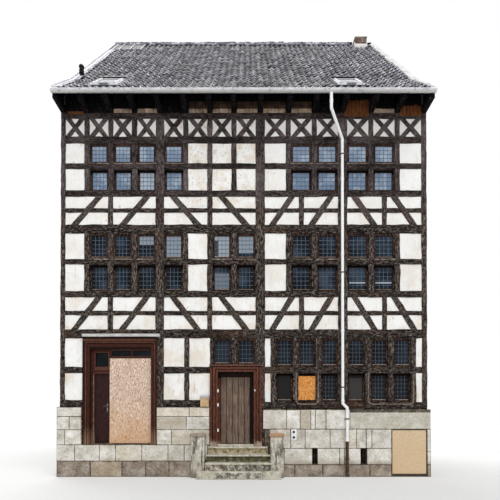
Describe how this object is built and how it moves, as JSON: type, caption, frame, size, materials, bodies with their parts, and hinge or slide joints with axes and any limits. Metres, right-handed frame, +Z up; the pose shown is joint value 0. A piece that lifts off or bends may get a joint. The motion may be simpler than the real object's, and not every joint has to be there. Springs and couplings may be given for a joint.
{
  "type": "half timbered house",
  "caption": "Half timbered town house in a row on a stone plinth, with braced and crossed framing, a steep tiled roof, a moulded portal and a stepped entrance.",
  "frame": {"origin": "centre of the bounding box in plan, at ground level", "axes": "+X to the right seen from the street, +Y from the street to the garden, +Z up"},
  "size_m": [11.12, 11.45, 18.15],
  "materials": {
    "plinth_stone": "weathered",
    "step_stone": "weathered",
    "masonry": "rendered",
    "timber": "weathered",
    "inner_timber": "rough",
    "plaster": "lime washed",
    "window_wood": "weathered paint",
    "portal_wood": "worn paint",
    "cornice": "worn paint",
    "leaf_wood": "worn paint",
    "plank_wood": "weathered",
    "chipboard": "raw",
    "glass": "polished",
    "roof_tile": "matt",
    "sheet_metal": "weathered zinc",
    "skylight_metal": "painted",
    "brick": "weathered",
    "black_metal": "matt",
    "white_plastic": "weathered",
    "iron": "rusty",
    "letterbox_metal": "painted"
  },
  "bodies": {
    "house": {"plinth_front": "plinth_stone", "plinth_rear": "plinth_stone", "cellar_lintel": "plinth_stone", "hatch_frame": "window_wood", "chipboards": "chipboard", "door_steps": "step_stone", "step_cheeks": "step_stone", "party_wall_left": "masonry", "party_wall_right": "masonry", "front_posts": "timber", "front_beams": "timber", "front_rails": "timber", "front_studs": "timber", "front_braces": "timber", "front_panels": "plaster", "brace_band_panels": "plaster", "window_frames_ground": "window_wood", "window_frames_upper": "window_wood", "window_glass": "glass", "portal_frame": "portal_wood", "portal_cornice": "cornice", "entrance_frame": "portal_wood", "letterbox": "letterbox_metal", "floor_boards": "inner_timber", "floor_joists": "inner_timber", "attic_joists": "timber", "eaves_infill": "masonry", "rear_timbers": "timber", "rear_panels": "plaster", "rear_window_frames": "window_wood", "rear_window_glass": "glass", "roof_timbers": "inner_timber", "roof_cover_front": "roof_tile", "roof_cover_rear": "roof_tile", "ridge_tiles": "roof_tile", "verge_flashings": "sheet_metal", "skylight_frames": "skylight_metal", "chimney": "brick", "vent_pipe": "black_metal", "gutters": "sheet_metal", "downpipe": "white_plastic", "downpipe_foot": "iron", "pipe_brackets": "sheet_metal"},
    "house_door": {"entrance_door": "plank_wood"},
    "shop_door": {"portal_door": "leaf_wood"}
  },
  "joints": [
    {"name": "house_door_hinge", "type": "hinge", "parent": "house", "child": "house_door", "pos_m": [0.189, -4.724, 1.9], "axis": [0, 0, -1], "range_deg": [0, 95]},
    {"name": "shop_door_hinge", "type": "hinge", "parent": "house", "child": "shop_door", "pos_m": [-4.484, -4.844, 2], "axis": [0, 0, 1], "range_deg": [0, 95]}
  ]
}
